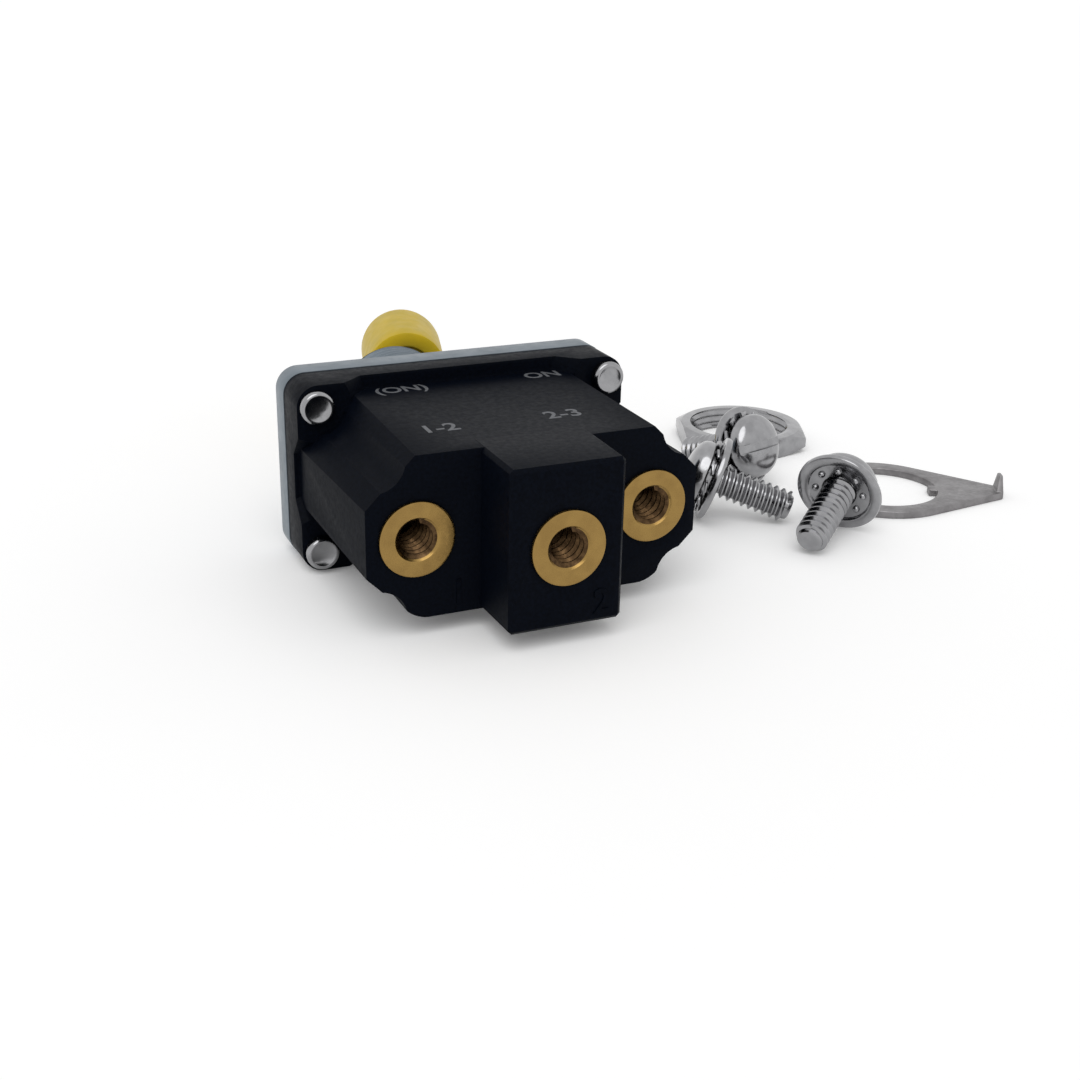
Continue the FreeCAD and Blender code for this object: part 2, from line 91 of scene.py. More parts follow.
class SwitchSizes(bpy.types.PropertyGroup):
    """Sizes of the finishing details, in millimetres"""

    case_edge: bpy.props.FloatProperty(
        name="Case edge", description="Rounding of the moulded case's edges, in mm",
        default=0.16, min=0.02, max=0.4)
    lower_edge: bpy.props.FloatProperty(
        name="Lower edge", description="Rounding of the case's lower long edges, in mm",
        default=1.1, min=0.3, max=1.6)
    cover_edge: bpy.props.FloatProperty(
        name="Cover edge", description="Rounding of the drawn cover's edges, in mm",
        default=0.22, min=0.02, max=0.5)
    bushing_pitch: bpy.props.FloatProperty(
        name="Bushing pitch", description="Thread pitch of the bushing and the nut, in mm",
        default=0.794, min=0.4, max=2.0)
    screw_pitch: bpy.props.FloatProperty(
        name="Screw pitch", description="Thread pitch of the screws and terminals, in mm",
        default=0.794, min=0.3, max=1.5)
    letter_height: bpy.props.FloatProperty(
        name="Letter height", description="Height of the printed marks, in mm",
        default=2.35, min=1.0, max=4.0)


class SwitchFinish(bpy.types.PropertyGroup):
    """Colours of the switch's materials"""

    case_colour: bpy.props.StringProperty(
        name="Case", description="Black moulded phenolic", default="#05080F")
    ink_colour: bpy.props.StringProperty(
        name="Ink", description="Grey stamped marking", default="#5C5E62")
    cover_colour: bpy.props.StringProperty(
        name="Cover", description="Blue grey plated steel", default="#737C84")
    bright_colour: bpy.props.StringProperty(
        name="Bright plating", description="Nickel plated steel of the hardware", default="#98989A")
    washer_colour: bpy.props.StringProperty(
        name="Washer", description="Matt zinc of the keying washer", default="#858384")
    brass_colour: bpy.props.StringProperty(
        name="Brass", description="Turned brass of the terminals", default="#957846")
    cap_colour: bpy.props.StringProperty(
        name="Cap", description="Yellow dipped vinyl", default="#BDA21E")
    rubber_colour: bpy.props.StringProperty(
        name="Rubber", description="Black seal and gasket", default="#1B1B1D")
    nylon_colour: bpy.props.StringProperty(
        name="Nylon", description="Off white plunger", default="#D8D2C4")
    silver_colour: bpy.props.StringProperty(
        name="Silver", description="Contact buttons", default="#D9D8D4")
    copper_colour: bpy.props.StringProperty(
        name="Strip brass", description="Rolled brass of the inner strips", default="#C69C55")


# Helpers: selecting, turning, threading and placing

def rest():
    """Leave edit mode and deselect everything."""
    if bpy.context.object and bpy.context.object.mode != "OBJECT":
        bpy.ops.object.mode_set(mode="OBJECT")
    bpy.ops.object.select_all(action="DESELECT")


def pick(obj):
    """Make one object the only selected and active one."""
    rest()
    obj.hide_set(False)
    obj.select_set(True)
    bpy.context.view_layer.objects.active = obj


def edit_all(obj):
    """Open an object in edit mode with all of it selected."""
    pick(obj)
    bpy.ops.object.mode_set(mode="EDIT")
    bpy.ops.mesh.select_all(action="SELECT")


def apply_modifiers(obj):
    """Apply the object's modifiers in order."""
    pick(obj)
    for name in [m.name for m in obj.modifiers]:
        bpy.ops.object.modifier_apply(modifier=name)


def draw_profile(name, points):
    """Draw an open or closed line of (radius, height) points in the XZ plane, from one vertex on."""
    rest()
    bpy.ops.mesh.primitive_plane_add(size=1.0, location=(0, 0, 0))
    obj = bpy.context.object
    obj.name = name
    obj.data.name = name
    bpy.ops.object.mode_set(mode="EDIT")
    bpy.ops.mesh.select_all(action="SELECT")
    bpy.ops.mesh.merge(type="CENTER")
    bpy.ops.transform.translate(value=(points[0][0], 0, points[0][1]))
    for (r0, z0), (r1, z1) in zip(points, points[1:]):
        bpy.ops.mesh.extrude_vertices_move(TRANSFORM_OT_translate={"value": (r1 - r0, 0, z1 - z0)})
    bpy.ops.object.mode_set(mode="OBJECT")
    return obj


def weld(obj, distance=0.002):
    """Merge doubles and turn the faces outwards."""
    edit_all(obj)
    bpy.ops.mesh.remove_doubles(threshold=distance)
    bpy.ops.mesh.dissolve_degenerate(threshold=distance * 0.5)
    bpy.ops.mesh.select_all(action="SELECT")
    bpy.ops.mesh.normals_make_consistent(inside=False)
    bpy.ops.object.mode_set(mode="OBJECT")


def turned(name, points, steps=64):
    """Spin a profile about the Z axis into a turned solid."""
    obj = draw_profile(name, points)
    edit_all(obj)
    bpy.ops.mesh.spin(steps=steps, angle=2 * math.pi, center=(0, 0, 0), axis=(0, 0, 1))
    bpy.ops.object.mode_set(mode="OBJECT")
    weld(obj)
    return obj


def thread(name, end_r, ridge_r, pitch, low, high, steps=64):
    """Helical thread between two levels, whose ends close down to circles of end_r."""
    profile = [(end_r, 0.0), (end_r, pitch * 0.12), (ridge_r, pitch * 0.45), (ridge_r, pitch * 0.6),
               (end_r, pitch * 0.93), (end_r, pitch)]
    obj = draw_profile(name, profile)
    screw = obj.modifiers.new("Helix", "SCREW")
    screw.axis = "Z"
    screw.angle = 2 * math.pi
    screw.steps = steps
    screw.render_steps = steps
    screw.screw_offset = pitch
    screw.iterations = int(math.ceil((high - low) / pitch)) + 2
    screw.use_merge_vertices = True
    screw.merge_threshold = 0.0005
    apply_modifiers(obj)
    for v in obj.data.vertices:
        z = v.co.z + low - 1.5 * pitch
        r = math.hypot(v.co.x, v.co.y)
        scale = 1.0
        if z <= low or z >= high:
            z = min(max(z, low), high)
            scale = end_r / r
        v.co = (v.co.x * scale, v.co.y * scale, z)
    weld(obj, 0.004)
    return obj


def join(name, *parts):
    """Join parts into the first one."""
    rest()
    for part in parts:
        part.select_set(True)
    bpy.context.view_layer.objects.active = parts[0]
    bpy.ops.object.join()
    parts[0].name = name
    parts[0].data.name = name
    return parts[0]


def bevel(obj, width, segments=3, angle=30.0):
    """Round the edges that are sharper than an angle."""
    mod = obj.modifiers.new("Rounded edges", "BEVEL")
    mod.width = width
    mod.segments = segments
    mod.limit_method = "ANGLE"
    mod.angle_limit = math.radians(angle)
    mod.harden_normals = False
    mod.use_clamp_overlap = True
    apply_modifiers(obj)


def smooth(obj, angle=35.0):
    """Shade smooth, keeping edges sharper than an angle."""
    pick(obj)
    bpy.ops.object.shade_smooth_by_angle(angle=math.radians(angle))


def place(obj, matrix):
    """Bring a piece made in millimetres to its place in metres, in its mesh."""
    pick(obj)
    obj.matrix_world = Matrix.Scale(MM, 4) @ matrix
    bpy.ops.object.transform_apply(location=True, rotation=True, scale=True)


def duplicate(obj, name):
    """Copy a modelled piece with its own mesh."""
    copy = obj.copy()
    copy.data = obj.data.copy()
    copy.name = name
    copy.data.name = name
    bpy.context.scene.collection.objects.link(copy)
    return copy


def cad_copy(node, name):
    """Merged copy of a CAD node's mesh, in millimetres, with its flat faces whole."""
    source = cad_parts[node]
    copy = source.copy()
    copy.data = source.data.copy()
    copy.parent = None
    for key in [k for k in copy.keys() if k.startswith("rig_")]:
        del copy[key]
    copy.name = name
    copy.data.name = name
    copy.hide_render = False
    copy.hide_viewport = False
    bpy.context.scene.collection.objects.link(copy)
    copy.data.materials.clear()
    copy.data.transform(Matrix.Scale(1 / MM, 4))
    edit_all(copy)
    bpy.ops.mesh.remove_doubles(threshold=0.0008)
    bpy.ops.mesh.dissolve_limited(angle_limit=math.radians(0.6))
    bpy.ops.object.mode_set(mode="OBJECT")
    return copy


def finish(obj, material, body, slot, *nodes):
    """Give a piece its material and its body, and hide the CAD nodes it stands for; the slot argument is not
    used.
    """
    obj.data.materials.clear()
    obj.data.materials.append(material)
    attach(obj, body)
    if nodes:
        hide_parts(*nodes)
    rest()
    return obj


def repaint(node, material):
    """Give a carried CAD node its material."""
    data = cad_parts[node].data
    if not data.materials:
        data.materials.append(material)
    for i in range(len(data.materials)):
        data.materials[i] = material


# Helpers: node materials

def linear(hex_colour):
    """Colour written as #RRGGBB, as the shader's linear colour."""
    channels = [int(hex_colour[i:i + 2], 16) / 255 for i in (1, 3, 5)]
    return tuple(c / 12.92 if c <= 0.04045 else ((c + 0.055) / 1.055) ** 2.4 for c in channels) + (1.0,)


def add_node(material, kind, **values):
    """Add one shader node and set its inputs or attributes by name."""
    node = material.node_tree.nodes.new(kind)
    for key, value in values.items():
        label = key.replace("_", " ")
        if label in node.inputs:
            node.inputs[label].default_value = value
        else:
            setattr(node, key, value)
    return node


def link(material, source, output, target, socket):
    """Link two sockets by name."""
    material.node_tree.links.new(source.outputs[output], target.inputs[socket])


def shader(name, metallic, roughness, specular=0.5):
    """New node material with its shader set; returns it with its shader."""
    material = bpy.data.materials.new(name)
    material.use_nodes = True
    main_shader = material.node_tree.nodes["Principled BSDF"]
    main_shader.inputs["Metallic"].default_value = metallic
    main_shader.inputs["Roughness"].default_value = roughness
    if metallic < 0.5:
        main_shader.inputs["Specular IOR Level"].default_value = specular
    return material, main_shader


def mottle(material, main_shader, dark, light, size_mm, low=0.35, high=0.65, detail=4.0):
    """Blend two close colours in soft patches of a real size."""
    coords = add_node(material, "ShaderNodeTexCoord")
    noise = add_node(material, "ShaderNodeTexNoise", Scale=1 / (size_mm * MM), Detail=detail, Roughness=0.55)
    ramp = add_node(material, "ShaderNodeValToRGB")
    ramp.color_ramp.elements[0].position = low
    ramp.color_ramp.elements[0].color = linear(dark)
    ramp.color_ramp.elements[1].position = high
    ramp.color_ramp.elements[1].color = linear(light)
    link(material, coords, "Object", noise, "Vector")
    link(material, noise, "Fac", ramp, "Fac")
    link(material, ramp, "Color", main_shader, "Base Color")
    return coords


def roughen(material, main_shader, coords, size_mm, low, high, detail=3.0):
    """Vary the roughness between two values in patches of a real size."""
    noise = add_node(material, "ShaderNodeTexNoise", Scale=1 / (size_mm * MM), Detail=detail)
    span = add_node(material, "ShaderNodeMapRange")
    span.inputs["From Min"].default_value = 0.3
    span.inputs["From Max"].default_value = 0.7
    span.inputs["To Min"].default_value = low
    span.inputs["To Max"].default_value = high
    link(material, coords, "Object", noise, "Vector")
    link(material, noise, "Fac", span, "Value")
    link(material, span, "Result", main_shader, "Roughness")


def grain(material, main_shader, coords, size_mm, depth_mm, strength=0.5, detail=3.0):
    """Fine surface relief of a real size and depth."""
    noise = add_node(material, "ShaderNodeTexNoise", Scale=1 / (size_mm * MM), Detail=detail)
    bump = add_node(material, "ShaderNodeBump", Strength=strength, Distance=depth_mm * MM)
    link(material, coords, "Object", noise, "Vector")
    link(material, noise, "Fac", bump, "Height")
    link(material, bump, "Normal", main_shader, "Normal")
    return bump


def shade(hex_colour, factor):
    """A hex colour made lighter or darker."""
    channels = [min(255, int(round(int(hex_colour[i:i + 2], 16) * factor))) for i in (1, 3, 5)]
    return "#%02X%02X%02X" % tuple(channels)


def phenolic():
    # Compression moulded phenolic: near black with a blue cast, a fine grain that breaks
    # the highlights up, and a dull satin gloss
    colour = bpy.context.scene.switch_finish.case_colour
    material, main_shader = shader("moulded_phenolic", 0.0, 0.42, 0.03)
    coords = mottle(material, main_shader, shade(colour, 0.8), shade(colour, 1.35), 0.3)
    roughen(material, main_shader, coords, 0.5, 0.36, 0.48)
    grain(material, main_shader, coords, 0.12, 0.015, 0.6)
    return material


def ink():
    # Stamped marking ink: grey, matt and slightly broken where the film is thin
    colour = bpy.context.scene.switch_finish.ink_colour
    material, main_shader = shader("stamped_ink", 0.0, 0.6, 0.3)
    coords = mottle(material, main_shader, shade(colour, 0.8), shade(colour, 1.05), 0.25, 0.3, 0.55)
    grain(material, main_shader, coords, 0.1, 0.01, 0.4)
    return material


def plated_cover():
    # Drawn steel with a dull blue grey plating: soft wide highlights and faint cloudy patches
    colour = bpy.context.scene.switch_finish.cover_colour
    material, main_shader = shader("dull_plated_steel", 1.0, 0.38)
    coords = mottle(material, main_shader, shade(colour, 0.95), shade(colour, 1.04), 3.0)
    roughen(material, main_shader, coords, 0.8, 0.34, 0.44)
    grain(material, main_shader, coords, 0.09, 0.006, 0.35)
    return material


def bright_steel():
    # Nickel plated steel: bright with crisp highlights, and a faint waviness from tumbling
    colour = bpy.context.scene.switch_finish.bright_colour
    material, main_shader = shader("nickel_plated_steel", 1.0, 0.16)
    coords = mottle(material, main_shader, shade(colour, 0.94), shade(colour, 1.03), 1.2)
    roughen(material, main_shader, coords, 0.5, 0.11, 0.22)
    grain(material, main_shader, coords, 0.6, 0.008, 0.15)
    return material


def matt_zinc():
    # Punched washer, matt zinc: even grey with fine tumbling marks
    colour = bpy.context.scene.switch_finish.washer_colour
    material, main_shader = shader("matt_zinc_steel", 1.0, 0.42)
    coords = mottle(material, main_shader, shade(colour, 0.9), shade(colour, 1.05), 1.5)
    roughen(material, main_shader, coords, 0.4, 0.34, 0.5)
    grain(material, main_shader, coords, 0.15, 0.008, 0.4)
    return material


def dark_steel():
    # Oiled spring steel and pins: darker grey, half bright
    material, main_shader = shader("oiled_steel", 1.0, 0.3)
    coords = mottle(material, main_shader, "#6F7276", "#8B8E92", 0.8)
    roughen(material, main_shader, coords, 0.3, 0.24, 0.38)
    grain(material, main_shader, coords, 0.1, 0.005, 0.3)
    return material


def shaded_bore_brass():
    # Thread cut in brass: the same metal, painted dark brown as the shade inside the bore, half bright on its
    # ridges
    material, main_shader = shader("painted_shade_bore_brass", 1.0, 0.3)
    coords = mottle(material, main_shader, "#3A2B1D", "#5C4730", 0.5)
    roughen(material, main_shader, coords, 0.3, 0.22, 0.4)
    return material


def turned_brass(centre, name):
    # Turned brass: fine tool rings round the terminal's axis, a little tarnish between them
    colour = bpy.context.scene.switch_finish.brass_colour
    material, main_shader = shader(name, 1.0, 0.28)
    coords = mottle(material, main_shader, shade(colour, 0.95), shade(colour, 1.03), 1.4)
    roughen(material, main_shader, coords, 0.35, 0.2, 0.36)
    mapping = add_node(material, "ShaderNodeMapping")
    mapping.inputs["Location"].default_value = (-centre * MM, 0.0, 0.0)
    rings = add_node(material, "ShaderNodeTexWave", wave_type="RINGS", rings_direction="Y",
                     Scale=1 / (1.6 * MM), Distortion=1.2, Detail=2.0)
    bump = add_node(material, "ShaderNodeBump", Strength=0.1, Distance=0.006 * MM)
    link(material, coords, "Object", mapping, "Vector")
    link(material, mapping, "Vector", rings, "Vector")
    link(material, rings, "Fac", bump, "Height")
    link(material, bump, "Normal", main_shader, "Normal")
    return material


def rolled_brass():
    # Rolled brass strip: warm, half dull, with fine mottling
    colour = bpy.context.scene.switch_finish.copper_colour
    material, main_shader = shader("rolled_brass", 1.0, 0.34)
    coords = mottle(material, main_shader, shade(colour, 0.85), shade(colour, 1.05), 1.0)
    roughen(material, main_shader, coords, 0.5, 0.26, 0.42)
    grain(material, main_shader, coords, 0.1, 0.005, 0.3)
    return material


def contact_silver():
    # Silver contact buttons: pale and soft with a light tarnish
    colour = bpy.context.scene.switch_finish.silver_colour
    material, main_shader = shader("contact_silver", 1.0, 0.3)
    coords = mottle(material, main_shader, shade(colour, 0.85), shade(colour, 1.02), 0.6)
    roughen(material, main_shader, coords, 0.3, 0.24, 0.4)
    return material


def yellow_vinyl():
    # Dip moulded vinyl: waxy yellow that lets a little light through, with soft uneven gloss
    colour = bpy.context.scene.switch_finish.cap_colour
    material, main_shader = shader("yellow_vinyl", 0.0, 0.42, 0.2)
    coords = mottle(material, main_shader, shade(colour, 0.96), shade(colour, 1.02), 3.0)
    roughen(material, main_shader, coords, 1.2, 0.36, 0.48)
    grain(material, main_shader, coords, 0.9, 0.03, 0.35)
    main_shader.inputs["Subsurface Weight"].default_value = 0.12
    main_shader.inputs["Subsurface Radius"].default_value = (1.0, 0.75, 0.2)
    main_shader.inputs["Subsurface Scale"].default_value = 1.2 * MM
    return material


def rubber():
    # Moulded black rubber: matt with a fine stipple
    colour = bpy.context.scene.switch_finish.rubber_colour
    material, main_shader = shader("seal_rubber", 0.0, 0.65, 0.3)
    coords = mottle(material, main_shader, shade(colour, 0.85), shade(colour, 1.2), 0.8)
    roughen(material, main_shader, coords, 0.5, 0.56, 0.74)
    grain(material, main_shader, coords, 0.12, 0.015, 0.5)
    return material


def nylon():
    # Moulded nylon plunger: off white and waxy
    colour = bpy.context.scene.switch_finish.nylon_colour
    material, main_shader = shader("moulded_nylon", 0.0, 0.42, 0.4)
    coords = mottle(material, main_shader, shade(colour, 0.95), shade(colour, 1.03), 1.2)
    roughen(material, main_shader, coords, 0.6, 0.36, 0.48)
    return material


# Pieces

class SWITCH_OT_case(bpy.types.Operator):
    """Round the moulded case's edges and give it its phenolic skin"""

    bl_idname = "switch.case"
    bl_label = "Moulded case"

    def execute(self, context):
        sizes = context.scene.switch_sizes
        case = cad_copy("case", "moulded_case")
        edit_all(case)
        bpy.ops.mesh.select_all(action="DESELECT")
        bpy.ops.object.mode_set(mode="OBJECT")
        shape = case.data
        faces_at = {}
        for face in shape.polygons:
            for key in face.edge_keys:
                faces_at.setdefault(key, []).append(face.normal)
        for edge in shape.edges:
            a, b = (shape.vertices[i].co for i in edge.vertices)
            normals = faces_at.get(edge.key, [])
            along = abs(b.y - a.y) / max((b - a).length, 0.001)
            on_wing = max(a.z, b.z) < WING_LOW and (a.y + b.y) / 2 < WING_FRONT and abs(a.x) > WING_SIDE
            corner = len(normals) == 2 and normals[0].angle(normals[1]) > 0.35
            edge.select = on_wing and along > 0.95 and corner
        bpy.ops.object.mode_set(mode="EDIT")
        bpy.ops.mesh.select_mode(type="EDGE")
        bpy.ops.mesh.bevel(offset=sizes.lower_edge, offset_type="OFFSET", segments=6, affect="EDGES")
        bpy.ops.mesh.select_mode(type="VERT")
        bpy.ops.object.mode_set(mode="OBJECT")
        bevel(case, sizes.case_edge, 3, 28.0)
        smooth(case, 30.0)
        place(case, Matrix.Identity(4))
        finish(case, phenolic(), "switch", "phenolic", "case")
        return {"FINISHED"}


class SWITCH_OT_cover(bpy.types.Operator):
    """Round the drawn cover's edges and finish the gasket under it"""

    bl_idname = "switch.cover"
    bl_label = "Cover and gasket"

    def execute(self, context):
        sizes = context.scene.switch_sizes
        cover = cad_copy("cover_plate", "drawn_cover")
        bevel(cover, sizes.cover_edge, 3, 25.0)
        smooth(cover, 30.0)
        place(cover, Matrix.Identity(4))
        finish(cover, plated_cover(), "switch", "plated_steel", "cover_plate")
        repaint("cover_gasket", rubber())
        return {"FINISHED"}


class SWITCH_OT_rivets(bpy.types.Operator):
    """Turn one rivet with its rolled rim and copy it to the four corners"""

    bl_idname = "switch.rivets"
    bl_label = "Corner rivets"

    def execute(self, context):
        sunk = -PAD_LEVEL
        points = [(0.0, 0.86), (1.0, 0.88), (1.15, 0.96), (1.3, 1.0), (1.45, 0.95), (1.56, 0.82), (1.6, 0.65),
                  (1.6, 0.0), (0.8, 0.0), (0.8, 1.0 - sunk), (1.4, -sunk), (0.0, -sunk)]
        first = turned("corner_rivet", points, 48)
        smooth(first, 50.0)
        copies = []
        for i, (sx, sz) in enumerate(((-1, 1), (1, 1), (-1, -1), (1, -1))):
            rivet = first if i == 0 else duplicate(first, "corner_rivet_copy")
            copies.append((rivet, sx, sz))
        for rivet, sx, sz in copies:
            place(rivet, Matrix.Translation((sx * RIVET_X, PAD_LEVEL, sz * RIVET_Z))
                  @ Matrix.Rotation(math.radians(90), 4, "X"))
        rivets = join("headed_rivets", *[c[0] for c in copies])
        finish(rivets, bright_steel(), "switch", "plated_steel", "corner_rivets")
        return {"FINISHED"}


class SWITCH_OT_bushing(bpy.types.Operator):
    """Cut the bushing's thread and keyway"""

    bl_idname = "switch.bushing"
    bl_label = "Threaded bushing"

    def execute(self, context):
        sizes = context.scene.switch_sizes
        core = cad_copy("bushing", "threaded_bushing")
        edit_all(core)
        bpy.ops.mesh.select_all(action="DESELECT")
        bpy.ops.object.mode_set(mode="OBJECT")
        for face in core.data.polygons:
            middle = face.center
            radius = math.hypot(middle.x, middle.z)
            outward = (face.normal.x * middle.x + face.normal.z * middle.z) / max(radius, 0.01)
            threaded = 0.02 < middle.y < BUSHING_LENGTH - BUSHING_CHAMFER - 0.01
            face.select = radius > 5.4 and outward > 0.5 and threaded
        bpy.ops.object.mode_set(mode="EDIT")
        bpy.ops.mesh.delete(type="FACE")
        bpy.ops.object.mode_set(mode="OBJECT")
        for v in core.data.vertices:
            radius = math.hypot(v.co.x, v.co.z)
            if math.hypot(v.co.x, v.co.y - PIVOT_HEIGHT) < 1.0 and radius > PIN_HOLE_END:
                v.co.x *= PIN_HOLE_END / radius
                v.co.z *= PIN_HOLE_END / radius
        ridges = thread("bushing_thread", BUSHING_ROOT, BUSHING_CREST, sizes.bushing_pitch,
                        0.4, BUSHING_LENGTH - 0.05, 96)
        for v in ridges.data.vertices:
            radius = math.hypot(v.co.x, v.co.y)
            past = max(0.0, v.co.z - (BUSHING_LENGTH - BUSHING_CHAMFER))
            wanted = min(radius, BUSHING_CREST - past)
            v.co.x *= wanted / radius
            v.co.y *= wanted / radius
            if abs(v.co.x) < KEYWAY_HALF and v.co.y > KEYWAY_FLOOR:
                v.co.y = KEYWAY_FLOOR
        neck = turned("bushing_neck", [(BUSHING_NECK, 0.0), (BUSHING_ROOT, 0.4)], 96)
        ridges = join("bushing_thread", ridges, neck)
        pick(ridges)
        ridges.matrix_world = Matrix.Rotation(math.radians(-90), 4, "X")
        bpy.ops.object.transform_apply(location=True, rotation=True, scale=True)
        bushing = join("threaded_bushing", core, ridges)
        smooth(bushing, 32.0)
        place(bushing, Matrix.Identity(4))
        finish(bushing, plated_cover(), "switch", "plated_steel", "bushing")
        repaint("pivot_pin", dark_steel())
        return {"FINISHED"}


class SWITCH_OT_lever(bpy.types.Operator):
    """Finish the plated lever, its seal and the vinyl cap over it"""

    bl_idname = "switch.lever"
    bl_label = "Lever, seal and cap"

    def execute(self, context):
        lever = cad_copy("lever", "plated_lever")
        bevel(lever, 0.12, 2, 28.0)
        smooth(lever, 40.0)
        place(lever, Matrix.Identity(4))
        finish(lever, bright_steel(), "lever_body", "plated_steel", "lever")
        repaint("lever_seal", rubber())
        low, shoulder, radius = 20.5, 30.15, 4.82
        points = [(2.84, low + 0.25), (3.1, low + 0.03), (4.25, low + 0.02), (4.46, low + 0.1),
                  (4.53, low + 0.32), (4.6, low + 2.5), (4.72, low + 6.0), (radius, shoulder)]
        for i in range(1, 17):
            a = math.radians(90.0 * i / 16)
            points.append((radius * math.cos(a), shoulder + radius * math.sin(a)))
        points += [(0.0, 33.04), (2.02, 33.04), (3.24, 31.84), (3.24, 24.0),
                   (2.9, low + 0.8), (2.84, low + 0.25)]
        cap = turned("vinyl_cap", points, 72)
        smooth(cap, 50.0)
        place(cap, Matrix.Translation((0, PIVOT_HEIGHT, 0))
              @ Matrix.Rotation(math.radians(-LEVER_LEAN), 4, "Z")
              @ Matrix.Rotation(math.radians(-90), 4, "X"))
        finish(cap, yellow_vinyl(), "lever_body", "yellow_vinyl", "lever_cap")
        return {"FINISHED"}


class SWITCH_OT_terminals(bpy.types.Operator):
    """Turn the three brass terminals and cut their inner threads"""

    bl_idname = "switch.terminals"
    bl_label = "Threaded terminals"

    def execute(self, context):
        pitch = context.scene.switch_sizes.screw_pitch
        # Darker brass for the faces inside the bore: painted shade
        bore_shade_material = shaded_bore_brass()
        for node, x, face, seat, head in (("terminal_1", -TERMINAL_X, SIDE_FACE, 6.9, 9.2),
                                          ("terminal_2", 0.0, CENTRE_FACE, 7.2, 15.6),
                                          ("terminal_3", TERMINAL_X, SIDE_FACE, 6.9, 9.2)):
            points = [(BORE_ROOT, -0.2), (1.98, -0.04), (2.03, 0.0), (2.08, 0.0), (3.24, 0.0), (3.32, -0.01),
                      (3.4, -0.04), (INSERT_R, -0.12), (INSERT_R, -seat), (1.3, -seat), (1.3, -head),
                      (1.7, -head), (1.7, -head - 0.5), (0.0, -head - 0.5)]
            body = turned("brass_" + node, points, 64)
            bottom = turned("bore_end", [(BORE_ROOT, -5.9), (1.6, -6.2), (0.0, -6.3)], 64)
            pick(bottom)
            bpy.ops.object.mode_set(mode="EDIT")
            bpy.ops.mesh.select_all(action="SELECT")
            bpy.ops.mesh.normals_make_consistent(inside=True)
            bpy.ops.object.mode_set(mode="OBJECT")
            ridges = thread("bore_thread", BORE_ROOT, BORE_CREST, pitch, -5.9, -0.2, 64)
            body = join("brass_" + node, body, bottom, ridges)
            weld(body, 0.004)
            smooth(body, 40.0)
            # Faces inside the threaded bore, which take the darker brass as painted shade
            inside = [math.hypot(f.center.x, f.center.y) < BORE_ROOT + 0.01 and -6.4 < f.center.z < -0.19
                      for f in body.data.polygons]
            place(body, Matrix.Translation((x, face, 0)) @ Matrix.Rotation(math.radians(90), 4, "X"))
            finish(body, turned_brass(x, "turned_brass_" + node), "switch", "brass", node)
            # Second slot: the painted shade brass for the bore faces
            body.data.materials.append(bore_shade_material)
            body.data.polygons.foreach_set("material_index", [int(flag) for flag in inside])
        return {"FINISHED"}


class SWITCH_OT_contacts(bpy.types.Operator):
    """Finish the working parts inside the case"""

    bl_idname = "switch.contacts"
    bl_label = "Spring, plunger and contacts"

    def execute(self, context):
        rest()
        coil_r, wire_r, turns, rise = 0.85, 0.18, 5, 0.608
        bpy.ops.mesh.primitive_circle_add(vertices=10, radius=wire_r, location=(coil_r, 0, 0),
                                          rotation=(math.radians(90), 0, 0))
        spring = bpy.context.object
        spring.name = "coiled_spring"
        spring.data.name = "coiled_spring"
        bpy.ops.object.transform_apply(location=True, rotation=True, scale=True)
        helix = spring.modifiers.new("Helix", "SCREW")
        helix.axis = "Z"
        helix.steps = 24
        helix.render_steps = 24
        helix.screw_offset = rise
        helix.iterations = turns
        helix.use_merge_vertices = True
        helix.merge_threshold = 0.001
        apply_modifiers(spring)
        edit_all(spring)
        bpy.ops.mesh.fill_holes(sides=0)
        bpy.ops.mesh.select_all(action="SELECT")
        bpy.ops.mesh.normals_make_consistent(inside=False)
        bpy.ops.object.mode_set(mode="OBJECT")
        smooth(spring, 60.0)
        place(spring, Matrix.Translation((0, PIVOT_HEIGHT, 0))
              @ Matrix.Rotation(math.radians(-LEVER_LEAN), 4, "Z")
              @ Matrix.Translation((0, -6.27, 0)) @ Matrix.Rotation(math.radians(-90), 4, "X"))
        finish(spring, dark_steel(), "lever_body", "dark_steel", "plunger_spring")
        repaint("plunger", nylon())
        strip_brass = rolled_brass()
        for node in ("contact_rocker", "fulcrum_bracket", "strip_left", "strip_right"):
            repaint(node, strip_brass)
        silver = contact_silver()
        for node in ("moving_contacts", "fixed_contacts"):
            repaint(node, silver)
        repaint("fulcrum_pin", dark_steel())
        return {"FINISHED"}


def screw_place(x, y, heading):
    """Frame of one loose screw, which rests on its cup washer's rim and its tip."""
    roll = math.degrees(math.atan2(CUP_R - SCREW_R, SCREW_LENGTH - WASHERS_THICK))
    return (Matrix.Translation((x, y, HARDWARE_LEVEL)) @ Matrix.Rotation(math.radians(heading), 4, "Z")
            @ Matrix.Translation((0, 0, CUP_R * math.cos(math.radians(roll))))
            @ Matrix.Rotation(math.radians(90 + roll), 4, "Y") @ Matrix.Translation((0, 0, -WASHERS_THICK)))


def laid_group(name, first):
    """Copy a piece to the three screws' places and join the copies."""
    copies = [first, duplicate(first, name + "_second"), duplicate(first, name + "_third")]
    for piece, spot in zip(copies, SCREW_PLACES):
        place(piece, screw_place(*spot))
    return join(name, *copies)


